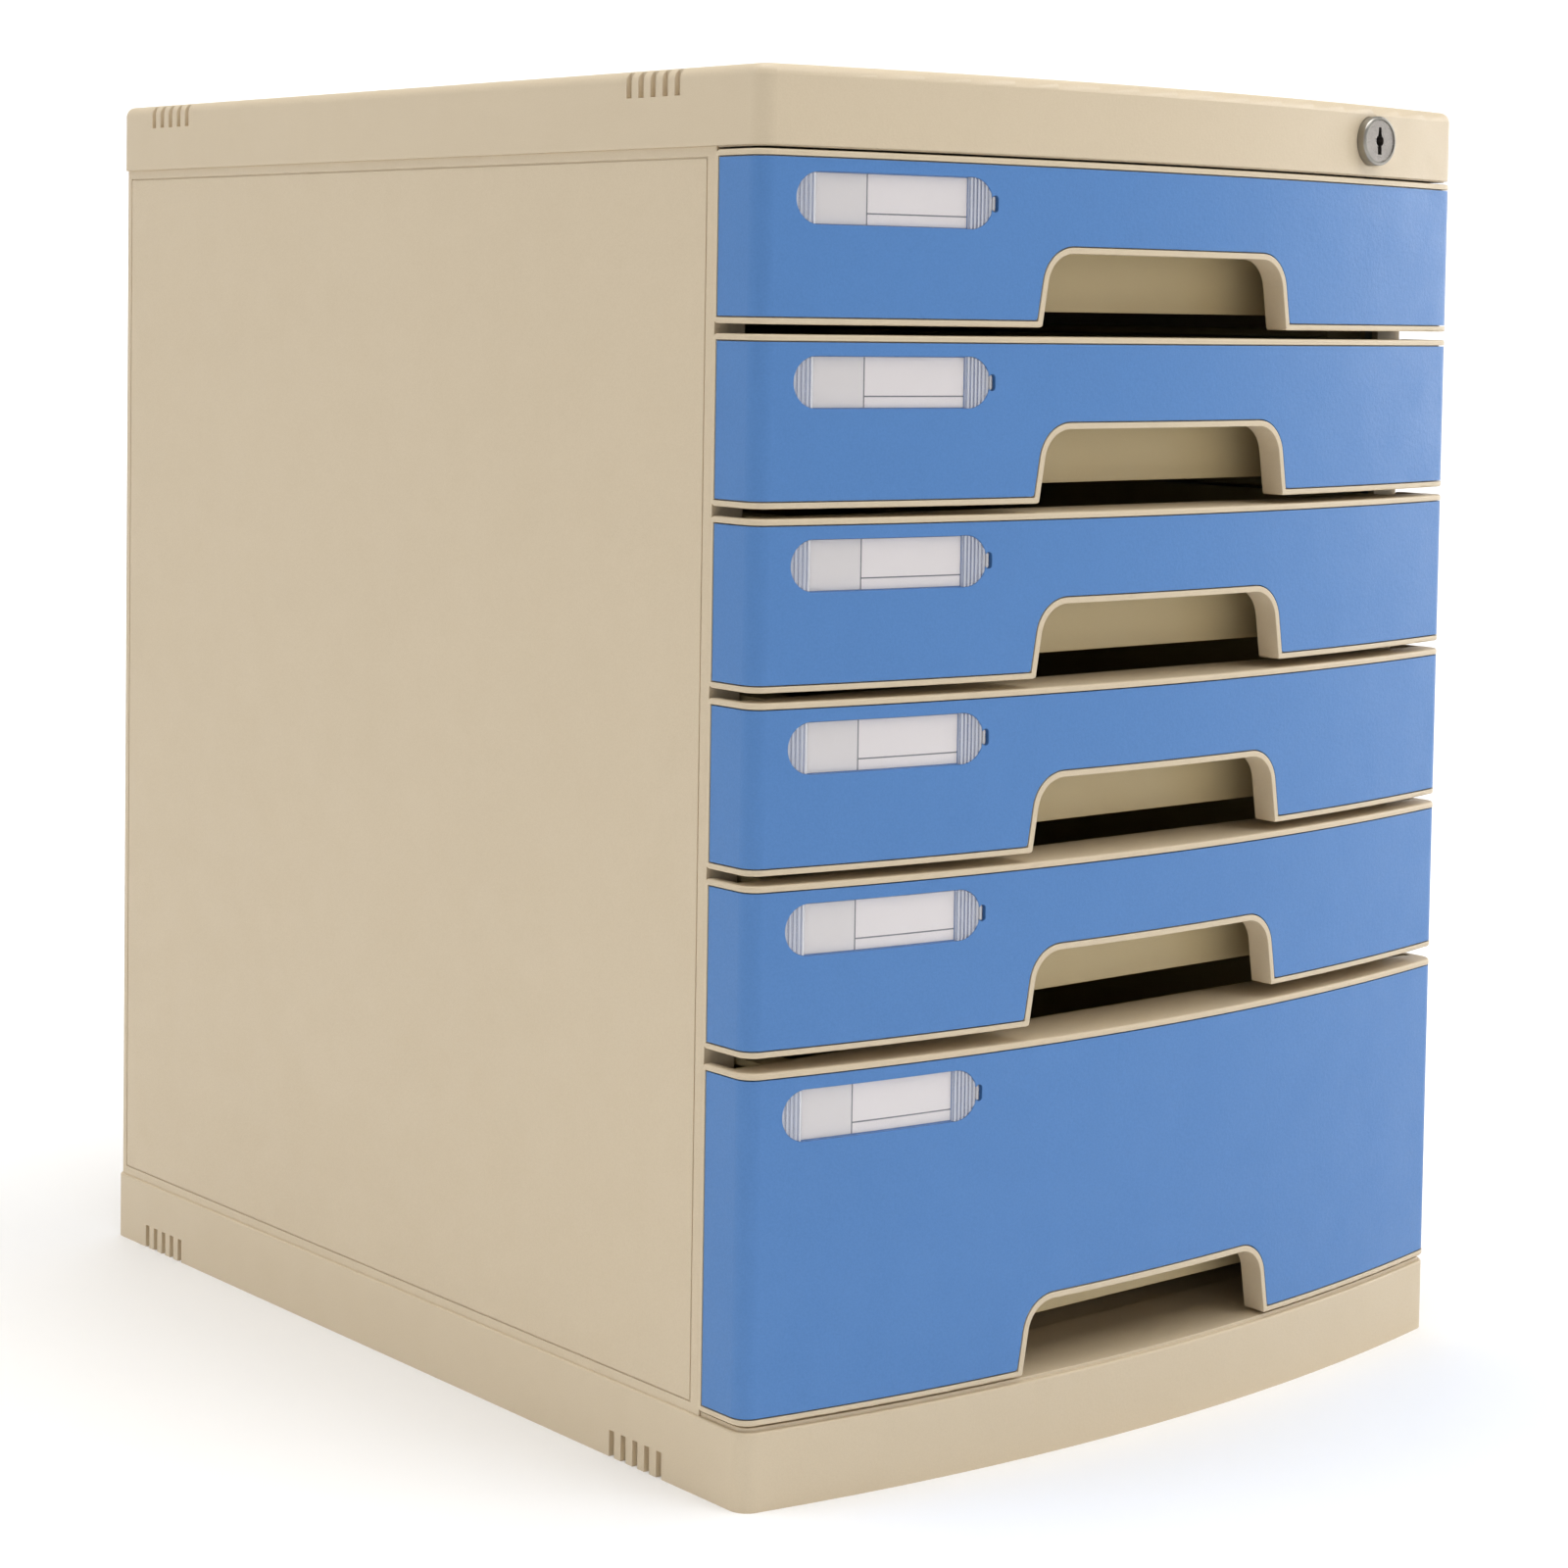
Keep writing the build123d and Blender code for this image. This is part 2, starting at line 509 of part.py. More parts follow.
# ---- Drawer trays ----
def drawer_tray(bottom, height, rise):
    """Open box with a wide front wall, side rails, stops and a catch for the lock bar."""
    low, top = bottom + rise, bottom + height - TRAY_TOP_DROP
    rail_bottom = top - RAIL_THICK
    front, rear = behind(TRAY_FRONT), behind(TRAY_REAR)
    tray = span(-TRAY_HALF, TRAY_HALF, front, rear, low, top)
    tray = fillet(tray.edges().filter_by(Axis.Z).group_by(Axis.Y)[-1], TRAY_RADIUS)
    inner = TRAY_HALF - TRAY_WALL
    well = span(-inner, inner, front + TRAY_FRONT_THICK, rear - TRAY_WALL,
                low + TRAY_FLOOR, top + TRAY_RADIUS)
    well = fillet(well.edges().filter_by(Axis.Z), TRAY_RADIUS - TRAY_WALL)
    well = fillet(well.faces().sort_by(Axis.Z)[0].edges(), TRAY_FLOOR_ROUND)
    tray -= well
    tray += span(-TRAY_FRONT_HALF, TRAY_FRONT_HALF, front, front + TRAY_FRONT_THICK, low, top) - well
    for side in (-1, 1):
        wall = side * (TRAY_HALF - TRAY_WALL / 2)
        tray += span(wall, side * RAIL_OUTER, front + TRAY_FRONT_THICK, rear - TRAY_RADIUS,
                     rail_bottom, top)
        tray += span(wall, side * STOP_OUTER, behind(STOP_FRONT), behind(STOP_FRONT + STOP_LENGTH),
                     rail_bottom, top)
    tray += span(TRAY_HALF - TRAY_WALL / 2, CATCH_OUTER, behind(CATCH_FRONT),
                 behind(CATCH_FRONT + CATCH_LENGTH), rail_bottom - CATCH_HEIGHT, rail_bottom)
    return tray


# ---- Lock ----
def lock_rod(radius, y0, y1):
    """Cylinder on the lock's axis, between two depths behind the front corner line."""
    return rod(LOCK_X, LOCK_Z, radius, behind(y0), behind(y1))


def lock_barrel():
    collar = lock_rod(COLLAR_RADIUS, COLLAR_FRONT, LOCK_SEAT)
    collar = fillet(collar.edges().sort_by(Axis.Y)[0], SMALL_ROUND)
    barrel = collar + lock_rod(BARREL_RADIUS, LOCK_SEAT, BARREL_REAR)
    barrel -= lock_rod(HEAD_RECESS, COLLAR_FRONT, COLLAR_FRONT + HEAD_SUNK + HEAD_DEPTH)
    return barrel - lock_rod(PLUG_BORE, COLLAR_FRONT, BARREL_REAR)


def lock_nut():
    upright = Plane((LOCK_X, behind(BOSS_REAR), LOCK_Z), x_dir=(1, 0, 0), z_dir=(0, 1, 0))
    outline = upright * RegularPolygon(NUT_ACROSS / 2, 6, major_radius=False)
    return extrude(outline, amount=NUT_THICK) - lock_rod(NUT_HOLE, BOSS_REAR, BARREL_REAR)


def keyway(face, floor):
    """Keyhole: an even lower arm, an upper arm that tapers to its tip, and a round between them."""
    upright = Plane((LOCK_X, behind(floor), LOCK_Z), x_dir=(1, 0, 0), z_dir=(0, -1, 0))
    half, shoulder, tip = KEYWAY_WIDTH / 2, KEYWAY_SHOULDER / 2, KEYWAY_TIP / 2
    reach = KEYWAY_LENGTH / 2
    arms = Polygon((-half, -reach), (half, -reach), (half, 0), (shoulder, 0), (tip, reach),
                   (-tip, reach), (-shoulder, 0), (-half, 0), align=None)
    return extrude(upright * (arms + Circle(KEYWAY_ROUND)), amount=floor - face)


def lock_plug():
    face = COLLAR_FRONT + HEAD_SUNK
    floor = face + KEYWAY_DEPTH
    plug = lock_rod(HEAD_RADIUS, face, face + HEAD_DEPTH - HEAD_GAP)
    plug += lock_rod(PLUG_RADIUS, face, PLUG_REAR)
    plug -= keyway(face, floor)
    return plug - lock_rod(CAM_SCREW_HOLE, PLUG_REAR - CAM_SCREW_DEPTH, PLUG_REAR)


def lock_cam():
    cam = lock_rod(CAM_RADIUS, PLUG_REAR, PLUG_REAR + CAM_THICK)
    cam += rod(PIN_X, PIN_Z, CAM_TIP_RADIUS, behind(PLUG_REAR), behind(PLUG_REAR + CAM_THICK))
    cam += rod(PIN_X, PIN_Z, PIN_RADIUS, behind(PLUG_REAR), behind(PIN_REAR))
    return cam - lock_rod(CAM_SCREW_HOLE, PLUG_REAR, PLUG_REAR + CAM_THICK)


def lock_cam_screw():
    rear = PLUG_REAR + CAM_THICK
    shank = lock_rod(CAM_SCREW_SHANK, rear - CAM_SCREW_DEPTH, rear)
    return shank + lock_rod(CAM_SCREW_HEAD, rear, rear + CAM_SCREW_HEAD_HEIGHT)


def lock_bar():
    """Bent strip: an arm inside the cover, and an upright with one finger for each drawer."""
    low, high = PIN_Z - ARM_LOWER, PIN_Z + ARM_LOWER
    bar = span(ARM_LEFT, BAR_OUTER, behind(ARM_FRONT), behind(ARM_FRONT + ARM_THICK), low, high)
    reach = PIN_RADIUS + SLOT_CLEARANCE
    bar -= span(LOCK_X - CRANK - reach, PIN_X + reach, behind(ARM_FRONT),
                behind(ARM_FRONT + ARM_THICK), PIN_Z - reach, PIN_Z + reach)
    bar += span(BAR_INNER, BAR_OUTER, behind(ARM_FRONT), behind(BAR_REAR), low, high)
    bar += span(BAR_INNER, BAR_OUTER, behind(BAR_FRONT), behind(BAR_REAR), BAR_BOTTOM, high)
    for tray_top in TRAY_TOPS:
        foot = tray_top - RAIL_THICK - FINGER_DROP
        bar += span(FINGER_INNER, BAR_OUTER, behind(FINGER_FRONT), behind(FINGER_REAR),
                    foot, foot + FINGER_HEIGHT)
    return bar


def lock_bar_guides():
    """Three brackets on the right side panel that the lock bar slides in."""
    brackets = []
    for height in GUIDE_PLACES:
        low, high = height - GUIDE_HEIGHT / 2, height + GUIDE_HEIGHT / 2
        slot_inner, slot_outer = BAR_INNER - GUIDE_CLEARANCE, BAR_OUTER + GUIDE_CLEARANCE
        slot_front, slot_rear = BAR_FRONT - GUIDE_CLEARANCE, BAR_REAR + GUIDE_CLEARANCE
        block = span(slot_inner - GUIDE_WALL, PANEL_INNER, behind(slot_front - GUIDE_WALL),
                     behind(slot_rear + GUIDE_WALL), low, high)
        slot = span(slot_inner, slot_outer, behind(slot_front), behind(slot_rear), low, high)
        brackets.append(block - slot)
    return Compound(brackets)


def build():
    """Every sub-part, by node name."""
    nodes = {
        "top_cover": top_cover(),
        "base": base(),
        "base_stiffeners": base_stiffeners(),
        "left_side_panel": side_panel(-1),
        "right_side_panel": side_panel(1),
        "left_runners": runners(-1),
        "right_runners": runners(1),
        "back_panel": back_panel(),
        "cover_screws": cover_screws(),
        "base_screws": base_screws(),
        "lock_barrel": lock_barrel(),
        "lock_nut": lock_nut(),
        "lock_plug": lock_plug(),
        "lock_cam": lock_cam(),
        "lock_cam_screw": lock_cam_screw(),
        "lock_bar": lock_bar(),
        "lock_bar_guides": lock_bar_guides(),
    }
    for number, (bottom, height, rise) in enumerate(zip(BOTTOMS, HEIGHTS, RISES), start=1):
        nodes[f"drawer_{number}_tray"] = drawer_tray(bottom, height, rise)
        nodes[f"drawer_{number}_front"] = drawer_front(bottom, height)
        nodes[f"drawer_{number}_face"] = drawer_face(bottom, height)
        nodes[f"drawer_{number}_label_window"] = label_window(bottom, height)
        nodes[f"drawer_{number}_label_card"] = label_card(bottom, height)
    return nodes


os.makedirs("parts", exist_ok=True)
for name, shape in build().items():
    export_step(shape, f"parts/{name}.step")
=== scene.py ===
from math import cos, pi, sin

import bpy
from mathutils import Matrix, Vector


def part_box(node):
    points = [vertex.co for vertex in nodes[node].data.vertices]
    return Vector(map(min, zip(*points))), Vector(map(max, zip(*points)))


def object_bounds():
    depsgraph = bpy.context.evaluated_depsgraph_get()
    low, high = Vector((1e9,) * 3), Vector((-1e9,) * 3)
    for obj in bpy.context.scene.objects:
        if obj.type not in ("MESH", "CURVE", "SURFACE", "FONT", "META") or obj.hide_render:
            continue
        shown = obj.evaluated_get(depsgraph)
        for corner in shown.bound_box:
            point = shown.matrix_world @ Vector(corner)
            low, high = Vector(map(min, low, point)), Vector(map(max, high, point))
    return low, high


# Looks for the six-drawer desktop filing cabinet. Every shape comes from the CAD frame; this
# script gives each node its material, and adds the floor, the lights and the camera. Metres.

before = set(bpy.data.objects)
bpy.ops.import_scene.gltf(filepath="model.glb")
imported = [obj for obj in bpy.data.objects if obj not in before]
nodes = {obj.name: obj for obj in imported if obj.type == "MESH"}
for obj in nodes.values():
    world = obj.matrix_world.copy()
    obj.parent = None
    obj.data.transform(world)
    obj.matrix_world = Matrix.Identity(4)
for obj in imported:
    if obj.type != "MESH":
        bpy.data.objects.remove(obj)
cad_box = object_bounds()

MM = 0.001
DRAWERS = range(1, 7)

# ---- Camera: place, and turns about Z, sideways and along its own axis, in radians ----
CAMERA_PLACE = (-0.7480, -0.9054, 0.3436)
CAMERA_HEADING = 0.6937     # to the right of +Y
CAMERA_DROP = 0.0505        # below the horizon
CAMERA_ROLL = 0.0154
CAMERA_LENS = 77.50
CAMERA_SHIFT = (0.0, -0.195)

# ---- Floor ----
FLOOR_FLAT = 2.4            # radius of the level part
FLOOR_CURVE = 1.2           # radius of the curve between it and the wall
WALL_TOP = 1.5
FLOOR_SIDES = 96
CURVE_STEPS = 16
FLOOR_ROUGHNESS = 0.9

# ---- Light: name, place, width, height and watts ----
SOFT_LIGHTS = (
    ("left_softbox", (-1.5, 1.0, 1.5), 1.2, 1.2, 6.8),
    ("front_softbox", (0.5, -1.25, 1.75), 1.0, 1.0, 10.0),
    ("right_softbox", (2.3, -0.6, 0.9), 1.2, 1.6, 18.5),
    ("top_softbox", (-0.2, -0.1, 2.3), 1.6, 1.6, 33.0),
    ("backdrop_light", (1.1, 1.4, 2.4), 1.2, 1.2, 40.0),
)
BACKDROP_TARGET = (2.6, 3.1, 0.3)
WORLD_LIGHT = 0.30

# ---- Colours, as linear light ----
BEIGE = (0.690, 0.575, 0.412)
BEIGE_DEEP = (0.625, 0.510, 0.350)
BLUE = (0.089, 0.237, 0.545)
BLUE_DEEP = (0.071, 0.198, 0.470)
TRAY = (0.700, 0.575, 0.330)
TRAY_DEEP = (0.640, 0.510, 0.280)
PAPER = (0.93, 0.87, 0.83)
PAPER_SHADE = (0.80, 0.76, 0.72)
INK = (0.09, 0.10, 0.11)
WINDOW_CLEAR = (0.97, 0.97, 0.98)
# Darker tint seen through the window between two ribs: painted shade in the grooves
WINDOW_GROOVE_SHADE = (0.55, 0.55, 0.62)
WINDOW_MILK = (0.84, 0.85, 0.90)
NICKEL = (0.57, 0.53, 0.49)
NICKEL_DARK = (0.40, 0.38, 0.34)
ZINC = (0.60, 0.60, 0.58)
FLOOR = (0.98, 0.98, 0.98)

# ---- Plastics: colour, deep colour, grain per metre, grain height, roughness, edge wear and painted edge highlight ----
PLASTICS = {
    "beige_panel": (BEIGE, BEIGE_DEEP, 2100.0, 0.10 * MM, 0.46, 0.55),
    "beige_cover": (BEIGE, BEIGE_DEEP, 2600.0, 0.07 * MM, 0.42, 0.55),
    "beige_tray": (TRAY, TRAY_DEEP, 3000.0, 0.03 * MM, 0.40, 0.35),
    "blue_face": (BLUE, BLUE_DEEP, 1700.0, 0.12 * MM, 0.42, 0.40),
}

# ---- Metals: colour, roughness, scratches per metre ----
METALS = {
    "satin_nickel": (NICKEL, 0.30, 2600.0),
    "dark_nickel": (NICKEL_DARK, 0.34, 2200.0),
    "zinc_steel": (ZINC, 0.38, 1800.0),
}

# ---- Spans that hold most of a noise's values, wide to narrow ----
NOISE_WIDE = (0.30, 0.70)
NOISE_MIDDLE = (0.35, 0.65)
NOISE_NARROW = (0.36, 0.64)

# ---- Moulded plastic ----
MOTTLE_SCALE = 9.0
CLOUD_SCALE = 70.0
MOTTLE_SHADE = 0.10         # how far each noise takes the colour to its deep one
CLOUD_SHADE = 0.08
SPECK_SHADE = 0.40
CLOUD_GLOSS = (-0.04, 0.05)    # how far each noise shifts the roughness
SPECK_GLOSS = (-0.04, 0.04)
PIT_SIZE = 0.42             # pits per metre, as a share of the grain's
PIT_WOBBLE = 0.6
PIT_HEIGHT = 0.6
SPECK_HEIGHT = 0.6
GRAIN_STRENGTH = 0.55
# Width of the edge band that is painted paler: partly wear, partly painted highlight
WORN_HIGHLIGHT_WIDTH = 0.45 * MM
PLASTIC_EDGE = 0.35 * MM    # radius at which light rounds a sharp edge
WORN_HIGHLIGHT_GAIN = 1.16            # worn edges are this much paler, plus a little white; the paler edges are partly painted highlight
WORN_HIGHLIGHT_WHITE = 0.03
PLASTIC_IOR = 1.47
PLASTIC_SPECULAR = 0.45
EDGE_DOT = (0.995, 0.86)    # how well two normals agree off and on an edge
BEVEL_SAMPLES = 6

# ---- Label window, ribbed upright at both ends ----
RIB_PITCH = 1.35 * MM
RIB_START = 0.1 * MM        # the ribs come in over this width past the card
RIB_CREST = (0.15 * RIB_PITCH, 0.38 * RIB_PITCH)
RIB_GROOVE_SHADE = (0.12 * RIB_PITCH, 0.04 * RIB_PITCH)
RIB_RELIEF = 0.15 * MM
RIB_STRENGTH = 0.5
WINDOW_EDGE = 0.15 * MM
WINDOW_SCRATCHES = 900.0
WINDOW_STRETCH = (0.15, 0.15, 1.0)
SCRATCH_RELIEF = 0.05
MILK_ROUGHNESS = (0.14, 0.26)
MILK_IOR = 1.49
MILK_SPECULAR = 0.5
HAZE = (0.02, 0.22)         # share of milk over the card and past its ends
CREST_HIGHLIGHT_HAZE = 0.34           # added on a rib: painted highlight along each rib crest
GROOVE_SHADE_HAZE = 0.12          # taken off between two ribs: painted shade in the grooves
GLOSS_SHARE = 0.035
GLOSS_ROUGHNESS = 0.08

# ---- Label card: its printed rules are placed as shares of its width and height ----
CARD_RULE_X = 0.335
CARD_RULE_Z = 0.222
RULE_HALF_X = 0.0040
RULE_HALF_Z = 0.0145
FIBRE_SCALE = 2600.0
FIBRE_STRETCH = (1.0, 1.0, 0.5)
PAPER_CLOUD_SCALE = 45.0
LEFT_FIELD_SHADE = 0.75     # the field left of the upright rule is greyer
FIBRE_SHADE = 0.12
PAPER_CLOUD_SHADE = 0.10
INK_SPAN = (0.25, 0.60)
INK_COVER = (0.80, 0.95)
PAPER_ROUGHNESS = (0.62, 0.78)
FIBRE_RELIEF = 0.02 * MM
FIBRE_STRENGTH = 0.35

# ---- Plated metal ----
SCRATCH_STRETCH = (1.0, 0.2, 1.0)
TARNISH_SCALE = 220.0
TARNISH_COVER = 0.6
TARNISH_DULL = 0.72
SCRATCH_GLOSS = (-0.08, 0.10)
METAL_RELIEF = 0.01 * MM
METAL_STRENGTH = 0.3
METAL_EDGE = 0.2 * MM


class Nodes:
    """A material's node tree, with short calls for the nodes that this script uses."""

    def __init__(self, name):
        self.material = bpy.data.materials.new(name)
        self.material.use_nodes = True
        self.tree = self.material.node_tree
        self.tree.nodes.clear()
        self.output = self.add("ShaderNodeOutputMaterial")
        self.places = self.add("ShaderNodeTexCoord")

    def add(self, kind, **settings):
        node = self.tree.nodes.new(kind)
        for key, value in settings.items():
            setattr(node, key, value)
        return node

    def join(self, source, target):
        self.tree.links.new(source, target)

    def give(self, target, value):
        """Sets an input to a constant, or links it to a socket."""
        if isinstance(value, bpy.types.NodeSocket):
            self.join(value, target)
        elif isinstance(value, tuple) and len(value) == 3 and target.type == "RGBA":
            target.default_value = (*value, 1.0)
        else:
            target.default_value = value

    def noise(self, scale, detail=2.0, rough=0.5, stretch=None):
        node = self.add("ShaderNodeTexNoise")
        node.inputs["Scale"].default_value = scale
        node.inputs["Detail"].default_value = detail
        node.inputs["Roughness"].default_value = rough
        self.join(self.stretched(stretch), node.inputs["Vector"])
        return node.outputs["Fac"]

    def stretched(self, stretch):
        if stretch is None:
            return self.places.outputs["Object"]
        node = self.add("ShaderNodeMapping")
        node.inputs["Scale"].default_value = stretch
        self.join(self.places.outputs["Object"], node.inputs["Vector"])
        return node.outputs["Vector"]

    def pits(self, scale, wobble):
        """Distance to the middles of small cells, whose places are shaken by a noise."""
        place = self.places.outputs["Object"]
        shake = self.add("ShaderNodeTexNoise")
        shake.inputs["Scale"].default_value = scale
        self.join(place, shake.inputs["Vector"])
        moved = self.add("ShaderNodeVectorMath", operation="MULTIPLY_ADD")
        self.join(shake.outputs["Color"], moved.inputs[0])
        moved.inputs[1].default_value = (wobble / scale,) * 3
        self.join(place, moved.inputs[2])
        node = self.add("ShaderNodeTexVoronoi", feature="SMOOTH_F1")
        node.inputs["Scale"].default_value = scale
        self.join(moved.outputs[0], node.inputs["Vector"])
        return node.outputs["Distance"]

    def math(self, operation, a, b=0.0, clamp=False):
        node = self.add("ShaderNodeMath", operation=operation, use_clamp=clamp)
        self.give(node.inputs[0], a)
        self.give(node.inputs[1], b)
        return node.outputs[0]

    def distance(self, a, b):
        return self.math("ABSOLUTE", self.math("SUBTRACT", a, b))

    def ramp(self, value, source, target=(0.0, 1.0)):
        """Value mapped from one range to another, clamped."""
        node = self.add("ShaderNodeMapRange")
        self.give(node.inputs["Value"], value)
        node.inputs["From Min"].default_value = source[0]
        node.inputs["From Max"].default_value = source[1]
        node.inputs["To Min"].default_value = target[0]
        node.inputs["To Max"].default_value = target[1]
        return node.outputs["Result"]

    def mix(self, share, a, b):
        node = self.add("ShaderNodeMix", data_type="RGBA")
        factor, first, second = node.inputs[0], node.inputs[6], node.inputs[7]
        self.give(factor, share)
        self.give(first, a)
        self.give(second, b)
        return node.outputs[2]

    def mix_shaders(self, share, a, b):
        node = self.add("ShaderNodeMixShader")
        self.give(node.inputs[0], share)
        self.join(a, node.inputs[1])
        self.join(b, node.inputs[2])
        return node.outputs[0]

    def bevel(self, radius):
        node = self.add("ShaderNodeBevel", samples=BEVEL_SAMPLES)
        node.inputs["Radius"].default_value = radius
        return node.outputs["Normal"]

    def edges(self, radius):
        """Near 1 along sharp edges and 0 elsewhere."""
        flat = self.add("ShaderNodeNewGeometry").outputs["Normal"]
        dot = self.add("ShaderNodeVectorMath", operation="DOT_PRODUCT")
        self.join(self.bevel(radius), dot.inputs[0])
        self.join(flat, dot.inputs[1])
        return self.ramp(dot.outputs["Value"], EDGE_DOT)

    def bump(self, height, distance, strength, normal=None):
        node = self.add("ShaderNodeBump")
        node.inputs["Strength"].default_value = strength
        node.inputs["Distance"].default_value = distance
        self.join(height, node.inputs["Height"])
        if normal is not None:
            self.join(normal, node.inputs["Normal"])
        return node.outputs["Normal"]

    def surface(self, shader):
        self.join(shader, self.output.inputs["Surface"])
        return self.material

    def principled(self, **inputs):
        node = self.add("ShaderNodeBsdfPrincipled")
        for name, value in inputs.items():
            self.give(node.inputs[name.replace("_", " ")], value)
        return node.outputs["BSDF"]


def moulded_plastic(name):
    """Satin moulded plastic: eroded grain, faint mottling, uneven gloss, and edges painted paler as
    wear and as painted highlight.
    """
    colour, deep, grain, grain_height, roughness, edge_wear_and_highlight = PLASTICS[name]
    n = Nodes(name)
    mottle = n.noise(MOTTLE_SCALE, detail=3.0)
    cloud = n.noise(CLOUD_SCALE)
    speck = n.noise(grain, detail=3.0, rough=0.6)
    shade = n.math("ADD", n.ramp(mottle, NOISE_MIDDLE, (0.0, MOTTLE_SHADE)),
                   n.ramp(cloud, NOISE_MIDDLE, (0.0, CLOUD_SHADE)))
    shade = n.math("ADD", shade, n.ramp(speck, NOISE_NARROW, (0.0, SPECK_SHADE)), clamp=True)
    # Edges painted paler: partly wear, partly painted highlight where light catches them
    pale_highlight = tuple(min(1.0, part * WORN_HIGHLIGHT_GAIN + WORN_HIGHLIGHT_WHITE) for part in colour)
    worn_and_highlit = n.math("MULTIPLY", n.edges(WORN_HIGHLIGHT_WIDTH), edge_wear_and_highlight)
    base = n.mix(worn_and_highlit, n.mix(shade, colour, deep), pale_highlight)
    rough = n.math("ADD", n.ramp(cloud, NOISE_WIDE, CLOUD_GLOSS), roughness)
    rough = n.math("ADD", rough, n.ramp(speck, NOISE_MIDDLE, SPECK_GLOSS))
    pits = n.pits(grain * PIT_SIZE, PIT_WOBBLE)
    height = n.math("ADD", n.math("MULTIPLY", pits, PIT_HEIGHT),
                    n.math("MULTIPLY", speck, SPECK_HEIGHT))
    normal = n.bump(height, grain_height, GRAIN_STRENGTH, n.bevel(PLASTIC_EDGE))
    shader = n.principled(Base_Color=base, Roughness=rough, Normal=normal, IOR=PLASTIC_IOR,
                          Specular_IOR_Level=PLASTIC_SPECULAR)
    return n.surface(shader)


def clear_window():
    """Clear moulded plastic: see-through over the card, ribbed and milky at both ends, with painted
    highlight on the rib crests and painted shade between them.
    """
    n = Nodes("clear_window")
    card_low, card_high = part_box("drawer_1_label_card")
    centre = (card_low.x + card_high.x) / 2
    half = (card_high.x - card_low.x) / 2
    place = n.add("ShaderNodeSeparateXYZ")
    n.join(n.places.outputs["Object"], place.inputs[0])
    past_card = n.math("SUBTRACT", n.distance(place.outputs["X"], centre), half)
    at_end = n.ramp(past_card, (0.0, RIB_START))
    wave = n.math("PINGPONG", past_card, RIB_PITCH / 2)
    # Rib crests carry bump relief and a painted highlight; the grooves between them carry painted
    # shade
    crest_relief_and_highlight = n.math("MULTIPLY", n.ramp(wave, RIB_CREST), at_end)
    groove_shade = n.math("MULTIPLY", n.ramp(wave, RIB_GROOVE_SHADE), at_end)
    scratch = n.noise(WINDOW_SCRATCHES, detail=4.0, stretch=WINDOW_STRETCH)
    clear = n.add("ShaderNodeBsdfTransparent")
    n.join(n.mix(groove_shade, WINDOW_CLEAR, WINDOW_GROOVE_SHADE), clear.inputs["Color"])
    milk = n.principled(Base_Color=WINDOW_MILK, Roughness=n.ramp(scratch, NOISE_WIDE, MILK_ROUGHNESS),
                        IOR=MILK_IOR, Specular_IOR_Level=MILK_SPECULAR, Normal=n.bevel(WINDOW_EDGE))
    gloss = n.add("ShaderNodeBsdfGlossy")
    gloss.inputs["Roughness"].default_value = GLOSS_ROUGHNESS
    relief = n.math("ADD", crest_relief_and_highlight, n.math("MULTIPLY", scratch, SCRATCH_RELIEF))
    n.join(n.bump(relief, RIB_RELIEF, RIB_STRENGTH, n.bevel(WINDOW_EDGE)), gloss.inputs["Normal"])
    haze = n.math("ADD", n.ramp(at_end, (0.0, 1.0), HAZE), n.math("MULTIPLY", crest_relief_and_highlight, CREST_HIGHLIGHT_HAZE))
    haze = n.math("SUBTRACT", haze, n.math("MULTIPLY", groove_shade, GROOVE_SHADE_HAZE), clamp=True)
    body = n.mix_shaders(haze, clear.outputs[0], milk)
    return n.surface(n.mix_shaders(GLOSS_SHARE, body, gloss.outputs[0]))


def label_card():
    """White card with a printed upright rule and a rule along its foot."""
    n = Nodes("label_card")
    place = n.add("ShaderNodeSeparateXYZ")
    n.join(n.places.outputs["Generated"], place.inputs[0])
    x, z = place.outputs["X"], place.outputs["Z"]
    fibre = n.noise(FIBRE_SCALE, detail=4.0, stretch=FIBRE_STRETCH)
    cloud = n.noise(PAPER_CLOUD_SCALE)
    right = n.math("GREATER_THAN", x, CARD_RULE_X)
    left_shade = n.math("MULTIPLY", n.math("SUBTRACT", 1.0, right), LEFT_FIELD_SHADE)
    paper = n.mix(left_shade, PAPER, PAPER_SHADE)
    paper = n.mix(n.ramp(fibre, NOISE_WIDE, (0.0, FIBRE_SHADE)), paper, PAPER_SHADE)
    paper = n.mix(n.ramp(cloud, NOISE_MIDDLE, (0.0, PAPER_CLOUD_SHADE)), paper, PAPER_SHADE)
    upright = n.math("LESS_THAN", n.distance(x, CARD_RULE_X), RULE_HALF_X)
    foot = n.math("LESS_THAN", n.distance(z, CARD_RULE_Z), RULE_HALF_Z)
    rules = n.math("MAXIMUM", upright, n.math("MULTIPLY", foot, right))
    ink = n.math("MULTIPLY", rules, n.ramp(fibre, INK_SPAN, INK_COVER))
    shader = n.principled(Base_Color=n.mix(ink, paper, INK),
                          Roughness=n.ramp(fibre, NOISE_WIDE, PAPER_ROUGHNESS),
                          Normal=n.bump(fibre, FIBRE_RELIEF, FIBRE_STRENGTH))
    return n.surface(shader)


